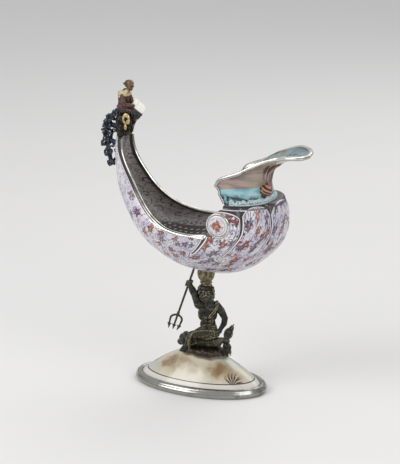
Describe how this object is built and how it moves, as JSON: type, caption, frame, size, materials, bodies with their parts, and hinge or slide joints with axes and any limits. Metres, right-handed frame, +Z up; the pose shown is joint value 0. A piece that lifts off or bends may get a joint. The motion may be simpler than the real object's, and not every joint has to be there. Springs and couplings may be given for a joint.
{
  "type": "nautilus cup",
  "caption": "Shell-shaped enamelled drinking cup with a tall prow and a flared lip, carried by a sea god on a dolphin over an oval domed foot.",
  "frame": {"origin": "bottom centre of the whole cup's bounding box, on the plane that the foot stands on", "axes": "+Z up; +X along the bowl from the prow to the lip; +Y across the bowl, away from the side that the picture shows"},
  "size_m": [0.193, 0.0814, 0.2608],
  "materials": {
    "silver": "polished silver, parcel gilt on the edges",
    "white_enamel": "pale lilac-white painted enamel with fine scrollwork and flowers, glossy",
    "painted_enamel": "painted enamel with soft cloud and landscape washes, glossy",
    "dark_bronze": "dark patinated bronze casting",
    "gilt": "worn gilding",
    "leather": "hidden packing",
    "ivory_enamel": "cream enamel on a casting",
    "red_enamel": "red-brown enamel on a casting"
  },
  "bodies": {
    "cup": {"bowl_nut": "silver", "bowl_packing": "leather", "bowl_stud": "silver", "bowl_washer": "silver", "collar": "painted_enamel", "collar_band": "white_enamel", "collar_rim": "silver", "dolphin": "dark_bronze", "dolphin_flukes": "dark_bronze", "foot_dome": "painted_enamel", "foot_nut": "silver", "foot_packing": "leather", "foot_rim": "silver", "foot_stud": "silver", "foot_washer": "silver", "gilt_scroll_far": "gilt", "gilt_scroll_near": "gilt", "gunwale_far": "silver", "gunwale_near": "silver", "hull": "white_enamel", "lowered_arm": "dark_bronze", "mound": "dark_bronze", "page": "ivory_enamel", "prow_clasp": "dark_bronze", "prow_foliage": "dark_bronze", "prow_screw": "silver", "raised_arm": "dark_bronze", "reader": "red_enamel", "reader_head": "ivory_enamel", "scroll_near": "gilt", "sea_god": "dark_bronze", "shawl": "ivory_enamel", "shell_ribs": "gilt", "shoulder": "silver", "vase": "gilt", "volute_far": "white_enamel", "volute_near": "white_enamel", "volute_ring_far": "silver", "volute_ring_near": "silver"},
    "trident": {"trident": "dark_bronze"}
  },
  "joints": [
    {"name": "trident_slide", "type": "slide", "parent": "cup", "child": "trident", "axis": [-0.3387, 0, -0.9409], "range_m": [0, 0.008]}
  ]
}
